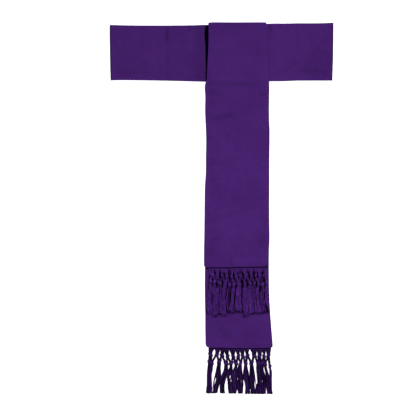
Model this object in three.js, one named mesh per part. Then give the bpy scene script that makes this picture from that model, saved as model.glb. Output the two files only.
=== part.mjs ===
import * as THREE from 'three';
import { mergeVertices } from 'three/addons/utils/BufferGeometryUtils.js';

// A clergy band cincture laid flat on a table, in millimetres.
// +Z is up, +Y points to the waistband and -Y to the fringe of the longer fall.
// The origin is on the table, under the middle of the whole piece.
// The waistband is a flattened loop, and one strip folded over it makes the two falls.

// Driving sizes
const overallLength = 809;
const foldedWaist = 486.5;
const bandWall = 1.2;
const fallWall = 1.0;
const tapeWall = 1.0;
const headingWall = 1.0;
const fringeDepth = 2.5;
const layerGap = 0.3;
const bandFoldHeight = 5.4;
const hemRound = 3;

// Places worked out from them
const topOfFold = overallLength / 2;
const fringeTip = -overallLength / 2;
const endFold = foldedWaist / 2;

// Where hidden pieces meet: the waistband's back and front, and the rear and front fall.
const bandSeam = 228;
const fallSeam = 385;

// The end folds lean in towards the lower edge, and the hems slope from left to right.
const leftFoldLean = 2.2;
const rightFoldLean = -2.4;
const frontHemSlope = 2.4;
const rearHemSlope = -0.6;
const hemSlopeReach = 60;

// Cells over the width of a stretch of cloth.
const bandCells = 6;
const fallCells = 8;

// The layers where the falls cross the waistband, from the table up.
const crossing = stackUp({
  back: bandWall,
  rearFall: fallWall,
  leftEnd: bandWall,
  loopTape: tapeWall,
  hookTape: tapeWall,
  rightEnd: bandWall,
  frontFall: fallWall,
});

// The layers of the loop away from the crossing, and of the falls below the band.
const loop = stackUp({ back: bandWall, front: bandWall });
const falls = stackUp({ rear: fallWall, front: fallWall });
const rearHem = stackUp({ heading: headingWall, hem: fallWall });
const frontHem = stackUp({ rear: fallWall, heading: headingWall, hem: fallWall });

// Edges of the waistband's stretches: lower and upper edge at places along it.
const frontLeftEdges = [
  { x: -243, lower: 278.0, upper: 398.5 },
  { x: -221, lower: 278.6, upper: 398.2 },
  { x: -178, lower: 278.1, upper: 397.5 },
  { x: -108, lower: 277.1, upper: 397.5 },
  { x: -56, lower: 275.8, upper: 398.3 },
  { x: -37, lower: 275.2, upper: 398.6 },
  { x: 40, lower: 276.5, upper: 398.6 },
];
const frontRightEdges = [
  { x: -25, lower: 276.0, upper: 399.4 },
  { x: 102, lower: 275.7, upper: 400.5 },
  { x: 119, lower: 276.0, upper: 401.5 },
  { x: 162, lower: 277.0, upper: 402.5 },
  { x: 206, lower: 277.4, upper: 402.7 },
  { x: 243, lower: 277.0, upper: 403.2 },
];
const backEdges = [
  { x: -228, lower: 279.4, upper: 397.3 },
  { x: -100, lower: 278.2, upper: 396.6 },
  { x: 0, lower: 277.6, upper: 397.8 },
  { x: 100, lower: 277.2, upper: 399.6 },
  { x: 228, lower: 278.2, upper: 402.0 },
];

// Edges of the two falls: left and right edge at places down them.
const frontFallEdges = [
  { y: 404, left: -28.6, right: 96.9 },
  { y: 396, left: -29.2, right: 97.6 },
  { y: 355, left: -29.4, right: 98.0 },
  { y: 322, left: -30.7, right: 99.7 },
  { y: 290, left: -32.6, right: 101.9 },
  { y: 274, left: -35.4, right: 103.4 },
  { y: 213, left: -35.9, right: 103.4 },
  { y: 179, left: -34.2, right: 104.2 },
  { y: 152, left: -33.5, right: 103.9 },
  { y: 91, left: -34.2, right: 103.1 },
  { y: 57, left: -35.8, right: 103.1 },
  { y: 4, left: -36.6, right: 103.2 },
  { y: -66, left: -37.7, right: 103.4 },
  { y: -100, left: -38.3, right: 101.4 },
  { y: -119, left: -38.3, right: 98.8 },
  { y: -127, left: -37.0, right: 98.4 },
  { y: -130, left: -33.4, right: 97.2 },
];
const rearFallEdges = [
  { y: 385, left: -28.6, right: 97.4 },
  { y: 290, left: -32.0, right: 101.4 },
  { y: 274, left: -34.6, right: 102.6 },
  { y: 152, left: -32.6, right: 102.9 },
  { y: -66, left: -36.4, right: 103.2 },
  { y: -127, left: -36.3, right: 103.2 },
  { y: -179, left: -36.0, right: 103.4 },
  { y: -205, left: -35.6, right: 104.5 },
  { y: -231, left: -35.1, right: 105.9 },
  { y: -266, left: -34.9, right: 108.5 },
  { y: -292, left: -34.4, right: 110.7 },
  { y: -302, left: -31.2, right: 110.2 },
  { y: -304, left: -28.9, right: 107.5 },
];

// Soft swells of the upper layers: middle, half width, half length, turn and rise.
const leftSwells = [
  { x: -168, y: 312, across: 60, along: 9, turn: 0.42, rise: 1.1 },
  { x: -136, y: 338, across: 11, along: 48, turn: 0, rise: 0.8 },
];
const rightSwells = [
  { x: 152, y: 308, across: 46, along: 9, turn: 0.5, rise: 1.1 },
  { x: 205, y: 312, across: 48, along: 10, turn: -0.3, rise: 0.9 },
];
const frontFallSwells = [
  { x: 20, y: 232, across: 62, along: 20, turn: 0.1, rise: 1.2 },
  { x: 6, y: 176, across: 40, along: 12, turn: 0.45, rise: 0.9 },
  { x: 10, y: 100, across: 58, along: 26, turn: 0, rise: 0.8 },
  { x: 34, y: -4, across: 60, along: 16, turn: 0.4, rise: 1.0 },
  { x: 66, y: -80, across: 40, along: 22, turn: -0.2, rise: 0.8 },
];
const rearFallSwells = [
  { x: 6, y: -282, across: 44, along: 9, turn: -0.6, rise: 0.8 },
];

// Fringe trims: heading band and the loose fringe below it.
const headings = {
  front: { top: -121, bottom: -134, left: -29.5, right: 95.5 },
  rear: { top: -295, bottom: -308.6, left: -27.6, right: 107.0 },
};
const frontFringeEdges = [
  { y: -134.3, left: -29.4, right: 97.4 },
  { y: -175, left: -31.5, right: 99.6 },
  { y: -236, left: -33.8, right: 102.2 },
];
const rearFringeEdges = [
  { y: -308.9, left: -27.7, right: 106.9 },
  { y: -328, left: -28.8, right: 103.9 },
  { y: -346, left: -30.9, right: 107.8 },
  { y: -364, left: -32.4, right: 110.2 },
  { y: fringeTip, left: -34.0, right: 111.0 },
];

// Fastening tapes between the overlapped ends of the waistband.
const loopTape = { top: 397, bottom: 284, left: -35.5, right: 36 };
const hookTape = { top: 389, bottom: 286, left: -22, right: 36 };

const cloth = new THREE.MeshStandardMaterial({ color: 0x42206a, roughness: 0.85, metalness: 0 });
const yarn = new THREE.MeshStandardMaterial({ color: 0x2a1244, roughness: 0.9, metalness: 0 });
const tape = new THREE.MeshStandardMaterial({ color: 0x0b0a0e, roughness: 0.95, metalness: 0 });

// The middle height of each layer in a stack of walls with the layer gap between them.
function stackUp(walls) {
  const middles = {};
  let height = 0;
  for (const [name, wall] of Object.entries(walls)) {
    middles[name] = height + wall / 2;
    height += wall + layerGap;
  }
  return middles;
}

// Linear reading of a table of rows, from its key column to another column.
function read(rows, key, place, column) {
  const rising = rows[0][key] < rows[rows.length - 1][key];
  const ordered = rising ? rows : [...rows].reverse();
  const after = ordered.findIndex((row) => row[key] >= place);
  if (after === 0) return ordered[0][column];
  if (after < 0) return ordered[ordered.length - 1][column];
  const a = ordered[after - 1];
  const b = ordered[after];
  return THREE.MathUtils.mapLinear(place, a[key], b[key], a[column], b[column]);
}

// How much the swells of a table lift the cloth at a point.
function swell(rows, x, y) {
  let lift = 0;
  for (const row of rows) {
    const across = (x - row.x) * Math.cos(row.turn) + (y - row.y) * Math.sin(row.turn);
    const along = (y - row.y) * Math.cos(row.turn) - (x - row.x) * Math.sin(row.turn);
    const reach = Math.hypot(across / row.across, along / row.along);
    lift += row.rise * (1 - THREE.MathUtils.smoothstep(reach, 0, 1));
  }
  return lift;
}

// Stations of a strip's section, from a first one. Each row runs on to a place and a height, or
// folds the strip back over itself up to a height, on the side that `turn` gives.
function section(first, rows) {
  const stations = [first];
  for (const row of rows) {
    const from = stations[stations.length - 1];
    const next = row.turn ? onFold : onRun;
    for (let i = 1; i <= row.steps; i += 1) {
      stations.push(next(from, row, i / row.steps));
    }
  }
  return stations;
}

// A station of a run, level or eased at both ends where it changes height.
function onRun(from, row, share) {
  const rise = THREE.MathUtils.smoothstep(share, 0, 1);
  return {
    at: THREE.MathUtils.lerp(from.at, row.to, share),
    height: THREE.MathUtils.lerp(from.height, row.height, rise),
  };
}

// A station of a fold, half a circle.
function onFold(from, row, share) {
  const radius = (row.height - from.height) / 2;
  const angle = Math.PI * (share - 0.5);
  return {
    at: from.at + row.turn * radius * Math.cos(angle),
    height: from.height + radius * (1 + Math.sin(angle)),
  };
}

// A wall of cloth. The section's stations run along it, `across` cells run over its width, and
// spread(station, share) gives the middle of the wall. The wall stands on the section's normal.
function clothWall(name, stations, across, wall, spread) {
  const along = stations.length - 1;
  const block = new THREE.BoxGeometry(1, 1, 1, along, across, 1);
  const points = block.attributes.position;
  for (let k = 0; k < points.count; k += 1) {
    const i = Math.round((points.getX(k) + 0.5) * along);
    const share = points.getY(k) + 0.5;
    const middle = spread(stations[i], share);
    const ahead = spread(stations[Math.min(i + 1, along)], share);
    const behind = spread(stations[Math.max(i - 1, 0)], share);
    const way = ahead.sub(behind);
    const over = spread(stations[i], 1).sub(spread(stations[i], 0));
    const normal = way.cross(over).normalize();
    middle.addScaledVector(normal, Math.sign(points.getZ(k)) * wall / 2);
    points.setXYZ(k, middle.x, middle.y, middle.z);
  }
  return closedMesh(name, block, cloth);
}

function closedMesh(name, geometry, material) {
  geometry.deleteAttribute('normal');
  geometry.deleteAttribute('uv');
  const merged = mergeVertices(geometry, 0.001);
  merged.computeVertexNormals();
  const mesh = new THREE.Mesh(merged, material);
  mesh.name = name;
  return mesh;
}

// A stretch of the waistband: its section runs along X and its width along Y.
// Only the upper layer swells.
function bandStretch(name, stations, edges, swells, lean) {
  const spread = (station, share) => {
    const lower = read(edges, 'x', station.at, 'lower');
    const upper = read(edges, 'x', station.at, 'upper');
    const y = THREE.MathUtils.lerp(lower, upper, share);
    const nearEnd = THREE.MathUtils.smoothstep(Math.abs(station.at), bandSeam, endFold);
    const x = station.at + lean * nearEnd * (1 - share) ** 2;
    const lift = station.height > loop.back ? swell(swells, x, y) : 0;
    return new THREE.Vector3(x, y, station.height + lift);
  };
  return clothWall(name, stations, bandCells, bandWall, spread);
}

function waistbandBack() {
  const end = bandSeam - layerGap;
  const stations = section({ at: -end, height: loop.back }, [
    { to: end, height: loop.back, steps: 12 },
  ]);
  return bandStretch('waistband_back', stations, backEdges, [], 0);
}

function waistbandFrontLeft() {
  const foldTop = bandFoldHeight - bandWall / 2;
  const centre = -(endFold - bandFoldHeight / 2);
  const stations = section({ at: -bandSeam, height: loop.back }, [
    { to: centre, height: loop.back, steps: 2 },
    { turn: -1, height: foldTop, steps: 8 },
    { to: -216, height: loop.front, steps: 6 },
    { to: -62, height: loop.front, steps: 14 },
    { to: -42, height: crossing.leftEnd, steps: 5 },
    { to: 40, height: crossing.leftEnd, steps: 4 },
  ]);
  return bandStretch(
    'waistband_front_left', stations, frontLeftEdges, leftSwells, leftFoldLean);
}

function waistbandFrontRight() {
  const foldTop = bandFoldHeight - bandWall / 2;
  const centre = endFold - bandFoldHeight / 2;
  const stations = section({ at: bandSeam, height: loop.back }, [
    { to: centre, height: loop.back, steps: 2 },
    { turn: 1, height: foldTop, steps: 8 },
    { to: 216, height: loop.front, steps: 6 },
    { to: 142, height: loop.front, steps: 8 },
    { to: 108, height: crossing.rightEnd, steps: 7 },
    { to: -25, height: crossing.rightEnd, steps: 5 },
  ]);
  return bandStretch(
    'waistband_front_right', stations, frontRightEdges, rightSwells, rightFoldLean);
}

// A fall: its section runs down Y and its width along X, and the hem slopes along its width.
function fallStretch(name, stations, edges, swells, hem, slope) {
  const spread = (station, share) => {
    const left = read(edges, 'y', station.at, 'left');
    const right = read(edges, 'y', station.at, 'right');
    const x = THREE.MathUtils.lerp(left, right, share);
    const nearHem = 1 - THREE.MathUtils.smoothstep(station.at, hem, hem + hemSlopeReach);
    const y = station.at + slope * nearHem * share;
    return new THREE.Vector3(x, y, station.height + swell(swells, x, y));
  };
  return clothWall(name, stations, fallCells, fallWall, spread);
}

function fallFront() {
  const centre = topOfFold - (crossing.frontFall - crossing.rearFall + fallWall) / 2;
  const hem = frontFallEdges[frontFallEdges.length - 1].y;
  const stations = section({ at: fallSeam, height: crossing.rearFall }, [
    { to: centre, height: crossing.rearFall, steps: 2 },
    { turn: 1, height: crossing.frontFall, steps: 10 },
    { to: 273, height: crossing.frontFall, steps: 8 },
    { to: 205, height: falls.front, steps: 12 },
    { to: -108, height: falls.front, steps: 24 },
    { to: -119, height: frontHem.hem, steps: 3 },
    { to: hem + hemRound, height: frontHem.hem, steps: 1 },
    { to: hem, height: frontHem.hem, steps: 1 },
  ]);
  return fallStretch(
    'fall_front', stations, frontFallEdges, frontFallSwells, hem, frontHemSlope);
}

function fallRear() {
  const hem = rearFallEdges[rearFallEdges.length - 1].y;
  const stations = section({ at: fallSeam - layerGap, height: crossing.rearFall }, [
    { to: 273, height: crossing.rearFall, steps: 6 },
    { to: 259, height: falls.rear, steps: 5 },
    { to: -240, height: falls.rear, steps: 16 },
    { to: -283, height: falls.rear, steps: 8 },
    { to: -293, height: rearHem.hem, steps: 3 },
    { to: hem + hemRound, height: rearHem.hem, steps: 1 },
    { to: hem, height: rearHem.hem, steps: 1 },
  ]);
  return fallStretch('fall_rear', stations, rearFallEdges, rearFallSwells, hem, rearHemSlope);
}

// A flat rectangular piece, such as a tape or a braid heading, at the middle of its layer.
function flatPiece(name, material, size, wall, middle) {
  const width = size.right - size.left;
  const height = size.top - size.bottom;
  const geometry = new THREE.BoxGeometry(width, height, wall);
  const mesh = closedMesh(name, geometry, material);
  mesh.position.set((size.left + size.right) / 2, (size.top + size.bottom) / 2, middle);
  return mesh;
}

// The reach of a fringe: a flat slab between its outer cords, which lies on `base`.
function fringe(name, edges, base) {
  const outline = new THREE.Shape();
  outline.moveTo(edges[0].left, edges[0].y);
  for (const row of edges.slice(1)) outline.lineTo(row.left, row.y);
  for (const row of [...edges].reverse()) outline.lineTo(row.right, row.y);
  outline.closePath();
  const slab = new THREE.ExtrudeGeometry(outline, { depth: fringeDepth, bevelEnabled: false });
  const mesh = closedMesh(name, slab, yarn);
  mesh.position.z = base;
  return mesh;
}

const cincture = new THREE.Group();
cincture.add(
  waistbandBack(),
  waistbandFrontLeft(),
  waistbandFrontRight(),
  fallFront(),
  fallRear(),
  flatPiece('heading_front', yarn, headings.front, headingWall, frontHem.heading),
  flatPiece('heading_rear', yarn, headings.rear, headingWall, rearHem.heading),
  fringe('fringe_front', frontFringeEdges, fallWall + layerGap),
  fringe('fringe_rear', rearFringeEdges, 0),
  flatPiece('fastening_loop_tape', tape, loopTape, tapeWall, crossing.loopTape),
  flatPiece('fastening_hook_tape', tape, hookTape, tapeWall, crossing.hookTape),
);

export default cincture;
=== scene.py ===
import math
import random

import bpy
import numpy as np
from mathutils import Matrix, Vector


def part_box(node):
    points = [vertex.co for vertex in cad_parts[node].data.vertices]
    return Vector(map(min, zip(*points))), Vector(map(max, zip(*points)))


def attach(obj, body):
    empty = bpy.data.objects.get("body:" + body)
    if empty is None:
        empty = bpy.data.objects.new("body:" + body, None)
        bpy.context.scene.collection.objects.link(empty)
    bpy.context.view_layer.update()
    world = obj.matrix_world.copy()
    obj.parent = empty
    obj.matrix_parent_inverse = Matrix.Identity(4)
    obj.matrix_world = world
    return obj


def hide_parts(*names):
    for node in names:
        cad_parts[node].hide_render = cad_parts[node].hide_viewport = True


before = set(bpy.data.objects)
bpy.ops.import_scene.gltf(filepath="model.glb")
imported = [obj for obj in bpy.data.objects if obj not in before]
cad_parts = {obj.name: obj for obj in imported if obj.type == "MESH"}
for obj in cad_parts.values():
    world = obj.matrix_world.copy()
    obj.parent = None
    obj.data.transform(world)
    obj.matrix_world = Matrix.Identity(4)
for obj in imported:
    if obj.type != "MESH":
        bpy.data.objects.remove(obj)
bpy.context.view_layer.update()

mm = 0.001


def rowsOf(columns, *rows):
    # rows with named columns; a short row lacks the last ones
    return [dict(zip(columns.split(), row)) for row in rows]


def hexColour(code):
    # sRGB hex to linear RGBA
    shares = [int(code[i:i + 2], 16) / 255 for i in (1, 3, 5)]
    linear = [c / 12.92 if c <= 0.04045 else ((c + 0.055) / 1.055) ** 2.4 for c in shares]
    return (*linear, 1.0)


def deselectAll():
    bpy.ops.object.select_all(action='DESELECT')


def pick(thing):
    deselectAll()
    thing.select_set(True)
    bpy.context.view_layer.objects.active = thing


def joinAll(things, name):
    deselectAll()
    for thing in things:
        thing.select_set(True)
    bpy.context.view_layer.objects.active = things[0]
    bpy.ops.object.join()
    joined = bpy.context.active_object
    joined.name = name
    joined.data.name = name
    return joined


def applyAll(thing):
    pick(thing)
    for modifier in list(thing.modifiers):
        bpy.ops.object.modifier_apply(modifier=modifier.name)


def getPoints(mesh):
    flat = np.empty(len(mesh.vertices) * 3)
    mesh.vertices.foreach_get("co", flat)
    return flat.reshape(-1, 3)


def setPoints(mesh, points):
    mesh.vertices.foreach_set("co", np.ascontiguousarray(points, dtype=float).ravel())
    mesh.update()


def getUv(mesh):
    flat = np.empty(len(mesh.loops) * 2)
    mesh.uv_layers.active.data.foreach_get("uv", flat)
    return flat.reshape(-1, 2)


def setUv(mesh, uv):
    mesh.uv_layers.active.data.foreach_set("uv", np.ascontiguousarray(uv).ravel())


def paint(mesh, name, values):
    mesh.attributes.new(name, 'FLOAT', 'POINT').data.foreach_set("value", values)


def addCopy(mesh, name):
    thing = bpy.data.objects.new(name, mesh)
    bpy.context.scene.collection.objects.link(thing)
    return thing


def ease(value, low, high):
    # 0 below low, 1 above high, smooth between them
    share = np.clip((value - low) / (high - low), 0, 1)
    return share * share * (3 - 2 * share)


def read(rows, key, column, places):
    # smooth reading of a table of rows
    rows = sorted(rows, key=lambda row: row[key])
    keys = np.array([row[key] for row in rows], dtype=float)
    values = np.array([row[column] for row in rows], dtype=float)
    slopes = np.gradient(values, keys)
    places = np.clip(places, keys[0], keys[-1])
    i = np.clip(np.searchsorted(keys, places) - 1, 0, len(keys) - 2)
    step = keys[i + 1] - keys[i]
    u = (places - keys[i]) / step
    low = (1 + 2 * u) * (1 - u) ** 2 * values[i] + u * (1 - u) ** 2 * step * slopes[i]
    high = u * u * (3 - 2 * u) * values[i + 1] + u * u * (u - 1) * step * slopes[i + 1]
    return low + high


def creases(rows, x, y, key="rise"):
    # how much a table of creases lifts the cloth, a ridge, or a trough below zero; or with dark,
    # how much painted shade it lays along a crease, a painted highlight below zero
    total = np.zeros_like(x)
    for row in rows:
        x0, y0 = row["start"]
        x1, y1 = row["end"]
        length = math.hypot(x1 - x0, y1 - y0)
        wayX, wayY = (x1 - x0) / length, (y1 - y0) / length
        along = ((x - x0) * wayX + (y - y0) * wayY) / length
        off = (y - y0) * wayX - (x - x0) * wayY
        off = off - row.get("bow", 0) * 4 * along * (1 - along)
        fade = ease(along, -0.1, 0.25) * (1 - ease(along, 1 - row.get("tail", 0.35), 1.1))
        total += row.get(key, 0) * np.exp(-(off / row["width"]) ** 2) * fade
    return total


def softNoise(u, v, seed):
    # smooth noise between 0 and 1, one unit from one value to the next
    grid = np.random.default_rng(seed).random((48, 48))
    i, j = np.floor(u).astype(int), np.floor(v).astype(int)
    f, g = ease(u - i, 0, 1), ease(v - j, 0, 1)
    low = grid[i % 48, j % 48] * (1 - f) + grid[(i + 1) % 48, j % 48] * f
    high = grid[i % 48, (j + 1) % 48] * (1 - f) + grid[(i + 1) % 48, (j + 1) % 48] * f
    return low * (1 - g) + high * g


# a pale table, a soft key from the upper right and an even fill
studio = {
    "viewWidth": 906.9,       # mm of table across the view
    "viewCentre": (-29.6, -0.2),
    "cameraHeight": 3200,
    "table": "#F4F4F5",
    "tableGlow": 0.8,
    "keyPower": 103,
    "keySize": 1.1,
    "keyPlace": (2.0, 2.9, 3.4),
    "fillPower": 5.3,
    "fillSize": 0.7,
    "fillPlace": (0.05, -0.05, 1.3),
    "horizon": 0.85,
    "zenith": 0.16,
}


def addNode(tree, kind, links=None, **settings):
    made = tree.nodes.new(kind)
    for key, value in settings.items():
        setattr(made, key, value)
    for key, value in (links or {}).items():
        if isinstance(value, bpy.types.NodeSocket):
            tree.links.new(value, made.inputs[key])
        else:
            made.inputs[key].default_value = value
    return made


def newMaterial(name):
    material = bpy.data.materials.new(name)
    material.use_nodes = True
    material.node_tree.nodes.clear()
    return material, material.node_tree


def buildStudio():
    scene = bpy.context.scene
    scene.view_settings.view_transform = 'Standard'
    camera = bpy.data.objects.new("camera", bpy.data.cameras.new("camera"))
    scene.collection.objects.link(camera)
    height = studio["cameraHeight"] * mm
    camera.location = (studio["viewCentre"][0] * mm, studio["viewCentre"][1] * mm, height)
    camera.data.sensor_width = 36
    camera.data.lens = 36 * height / (studio["viewWidth"] * mm)
    camera.data.clip_end = 50
    scene.camera = camera

    deselectAll()
    bpy.ops.mesh.primitive_plane_add(size=14, location=(0, 0, -0.0003))
    table = bpy.context.active_object
    table.name = "table"
    material, tree = newMaterial("paintedPaleTable")
    shader = addNode(tree, "ShaderNodeBsdfPrincipled", {
        "Base Color": hexColour(studio["table"]), "Roughness": 0.9,
        "Emission Color": (1, 1, 1, 1), "Emission Strength": studio["tableGlow"]})
    addNode(tree, "ShaderNodeOutputMaterial", {"Surface": shader.outputs["BSDF"]})
    table.data.materials.append(material)

    for name in ("key", "fill"):
        light = bpy.data.objects.new(name, bpy.data.lights.new(name, 'AREA'))
        scene.collection.objects.link(light)
        light.data.energy = studio[name + "Power"]
        light.data.size = studio[name + "Size"]
        light.location = studio[name + "Place"]
        light.rotation_euler = light.location.to_track_quat('Z', 'Y').to_euler()
        light.visible_camera = False

    # the surroundings are pale low down and dim overhead
    world = bpy.data.worlds.new("studio")
    scene.world = world
    world.use_nodes = True
    tree = world.node_tree
    where = addNode(tree, "ShaderNodeTexCoord")
    parts = addNode(tree, "ShaderNodeSeparateXYZ", {"Vector": where.outputs["Generated"]})
    sky = addNode(tree, "ShaderNodeValToRGB", {"Fac": parts.outputs["Z"]})
    for element, place, level in zip(
            [sky.color_ramp.elements[0], sky.color_ramp.elements.new(0.3),
             sky.color_ramp.elements[1]],
            (0.0, 0.3, 1.0),
            (studio["horizon"], 0.35, studio["zenith"])):
        element.position = place
        element.color = (level, level, level, 1)
    tree.links.new(sky.outputs["Color"], tree.nodes["Background"].inputs["Color"])
    print("studio ready")


faille = {
    "colour": "#47206E",
    "deep": "#441D69",
    "light": "#4A2272",
    "shadow": "#080112",
    "restShade": 0.06,    # painted everywhere, so a raised margin can be painted lighter
    "streak": 0.06,
    "mottle": 0.14,
    "ribPitch": 1.3,     # mm; real faille ribs are about 0.5 mm apart, drawn coarser to show
    "ribHeight": 0.10,
    "slubSize": 0.6,
}


def failleCloth():
    # matt polyester faille: a fine cross rib, a faint sheen, hardly any gloss
    material, tree = newMaterial("purpleFailleWoven")
    where = addNode(tree, "ShaderNodeTexCoord")
    ribScale = 2 * math.pi / (20 * faille["ribPitch"] * mm)
    ribs = addNode(tree, "ShaderNodeTexWave", {
        "Vector": where.outputs["UV"], "Scale": ribScale, "Distortion": 1.1,
        "Detail": 2.0, "Detail Scale": 0.6, "Detail Roughness": 0.6},
        wave_type='BANDS', bands_direction='Y', wave_profile='SIN')
    slub = addNode(tree, "ShaderNodeTexNoise", {
        "Vector": where.outputs["UV"], "Scale": 1 / (faille["slubSize"] * mm), "Detail": 3.0})
    cloud = addNode(tree, "ShaderNodeTexNoise", {
        "Vector": where.outputs["Object"], "Scale": 11.0, "Detail": 5.0, "Roughness": 0.6})
    tone = addNode(tree, "ShaderNodeValToRGB", {"Fac": cloud.outputs["Fac"]})
    tone.color_ramp.elements[0].position = 0.35
    tone.color_ramp.elements[0].color = hexColour(faille["deep"])
    tone.color_ramp.elements[1].position = 0.66
    tone.color_ramp.elements[1].color = hexColour(faille["light"])
    middle = tone.color_ramp.elements.new(0.5)
    middle.color = hexColour(faille["colour"])
    # single weft yarns run a little lighter or darker right across the strip
    weft = addNode(tree, "ShaderNodeMapping", {
        "Vector": where.outputs["UV"], "Scale": (6, 320, 1)})
    streak = addNode(tree, "ShaderNodeTexNoise", {
        "Vector": weft.outputs["Vector"], "Scale": 1.0, "Detail": 2.0})
    weave = addNode(tree, "ShaderNodeMixRGB", {
        "Fac": faille["streak"], "Color1": tone.outputs["Color"],
        "Color2": streak.outputs["Fac"]}, blend_type='OVERLAY')
    # the nap lies unevenly in small patches
    patch = addNode(tree, "ShaderNodeTexNoise", {
        "Vector": where.outputs["Object"], "Scale": 110.0, "Detail": 3.0, "Roughness": 0.6})
    nap = addNode(tree, "ShaderNodeMixRGB", {
        "Fac": faille["mottle"], "Color1": weave.outputs["Color"],
        "Color2": patch.outputs["Fac"]}, blend_type='OVERLAY')
    # painted shade: folds, crease bottoms and what lies under the fringe are painted darker, and
    # a painted highlight is painted as less of it
    shade = addNode(tree, "ShaderNodeAttribute", attribute_name="deepShade")
    shaded = addNode(tree, "ShaderNodeMixRGB", {
        "Fac": shade.outputs["Fac"], "Color1": nap.outputs["Color"],
        "Color2": hexColour(faille["shadow"])})
    height = addNode(tree, "ShaderNodeMath", {
        0: ribs.outputs["Fac"], 1: slub.outputs["Fac"]}, operation='ADD')
    bump = addNode(tree, "ShaderNodeBump", {
        "Strength": 0.35, "Distance": faille["ribHeight"] * mm, "Height": height.outputs[0]})
    shader = addNode(tree, "ShaderNodeBsdfPrincipled", {
        "Base Color": shaded.outputs["Color"], "Roughness": 0.8, "IOR": 1.46,
        "Specular IOR Level": 0.06, "Sheen Weight": 0.04, "Sheen Roughness": 0.45,
        "Sheen Tint": hexColour("#7A45C0"), "Normal": bump.outputs["Normal"]})
    addNode(tree, "ShaderNodeOutputMaterial", {"Surface": shader.outputs["BSDF"]})
    return material


def floss(name, plan):
    # soft two-ply rayon floss: a spiral twist that catches the light along each ply
    material, tree = newMaterial(name)
    where = addNode(tree, "ShaderNodeTexCoord")
    parts = addNode(tree, "ShaderNodeSeparateXYZ", {"Vector": where.outputs["UV"]})
    turns = addNode(tree, "ShaderNodeMath", {
        0: parts.outputs["Y"], 1: 1 / (yarn["twist"] * mm)}, operation='MULTIPLY')
    spiral = addNode(tree, "ShaderNodeMath", {
        0: parts.outputs["X"], 1: 2.0, 2: turns.outputs[0]}, operation='MULTIPLY_ADD')
    angle = addNode(tree, "ShaderNodeMath", {
        0: spiral.outputs[0], 1: 2 * math.pi}, operation='MULTIPLY')
    ply = addNode(tree, "ShaderNodeMath", {0: angle.outputs[0]}, operation='SINE')
    bump = addNode(tree, "ShaderNodeBump", {
        "Strength": 0.6, "Distance": 0.25 * mm, "Height": ply.outputs[0]})
    shade = addNode(tree, "ShaderNodeAttribute", attribute_name="shade")
    # painted shade in the grooves between the plies
    groove = addNode(tree, "ShaderNodeMapRange", {
        "Value": ply.outputs[0], "From Min": -1.0, "To Min": 0.5, "To Max": 1.0})
    lit = addNode(tree, "ShaderNodeMath", {
        0: shade.outputs["Fac"], 1: groove.outputs["Result"]}, operation='MULTIPLY')
    # the painted light and shade of a strand mixes its colour from deep, fully shaded, to light,
    # fully lit
    tone = addNode(tree, "ShaderNodeMixRGB", {
        "Fac": lit.outputs[0],
        "Color1": hexColour(plan["deep"]), "Color2": hexColour(plan["light"])})
    shader = addNode(tree, "ShaderNodeBsdfPrincipled", {
        "Base Color": tone.outputs["Color"], "Roughness": 0.65, "IOR": 1.47,
        "Specular IOR Level": 0.05, "Sheen Weight": 0.02, "Sheen Roughness": 0.4,
        "Sheen Tint": hexColour("#6A3CB0"), "Normal": bump.outputs["Normal"]})
    addNode(tree, "ShaderNodeOutputMaterial", {"Surface": shader.outputs["BSDF"]})
    return material


tapes = {
    "deep": "#000007",
    "light": "#02010F",
    "loop": 1.1,          # mm from one loop of the nap to the next
    "cells": (24, 40),
    "thickShare": 0.9,    # of the solid it stands for
    "edgeRound": 0.3,
    # the loop tape's left edge shows in the slit and follows the shadow there beside the front
    # fall
    "loopEdge": rowsOf("y x",
        (284, -31.5), (292, -33.2), (305, -34.1), (322, -34.7), (357, -35.4), (370, -36.5),
        (384, -36.8), (390, -35.6), (397, -35.2)),
    "hookEdge": rowsOf("y x", (286, -22), (389, -22)),
}


def closingTape():
    # black nylon hook-and-loop tape: napped and dull, coloured near black, which also stands as
    # painted shadow in the slit beside the front fall
    material, tree = newMaterial("blackTapeAndSlitShadow")
    where = addNode(tree, "ShaderNodeTexCoord")
    nap = addNode(tree, "ShaderNodeTexVoronoi", {
        "Vector": where.outputs["Object"], "Scale": 1 / (tapes["loop"] * mm)})
    bump = addNode(tree, "ShaderNodeBump", {
        "Strength": 0.7, "Distance": 0.3 * mm, "Height": nap.outputs["Distance"]})
    tone = addNode(tree, "ShaderNodeMixRGB", {
        "Fac": nap.outputs["Distance"],
        "Color1": hexColour(tapes["deep"]), "Color2": hexColour(tapes["light"])})
    shader = addNode(tree, "ShaderNodeBsdfPrincipled", {
        "Base Color": tone.outputs["Color"], "Roughness": 0.95,
        "Specular IOR Level": 0.02, "Normal": bump.outputs["Normal"]})
    addNode(tree, "ShaderNodeOutputMaterial", {"Surface": shader.outputs["BSDF"]})
    return material


def run(start, end, startHeight, endHeight, cell):
    # stations of a level stretch or an eased slope, one for each row of cells
    count = max(2, round(abs(end - start) / cell))
    share = np.linspace(0, 1, count + 1)
    at = start + (end - start) * share
    rise = share * share * (3 - 2 * share)
    return np.stack([at, startHeight + (endHeight - startHeight) * rise], axis=1)


def bend(centre, startHeight, endHeight, outward, cell):
    # stations round a fold, half a circle
    radius = abs(endHeight - startHeight) / 2
    count = max(6, round(math.pi * radius / cell))
    angle = np.linspace(-math.pi / 2, math.pi / 2, count + 1)
    turn = 1 if endHeight > startHeight else -1
    middle = (startHeight + endHeight) / 2
    return np.stack([
        centre + outward * radius * np.cos(angle),
        middle + turn * radius * np.sin(angle)], axis=1)


def joinRoute(stretches):
    # one route from stretches that share their end stations, the way along it at each station
    # and the last station of each stretch
    parts = list(stretches.values())
    route = np.concatenate([parts[0]] + [part[1:] for part in parts[1:]])
    steps = np.hypot(*np.diff(route, axis=0).T)
    counts = np.cumsum([len(part) - 1 for part in parts])
    return route, np.concatenate([[0], np.cumsum(steps)]), dict(zip(stretches, counts))


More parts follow.
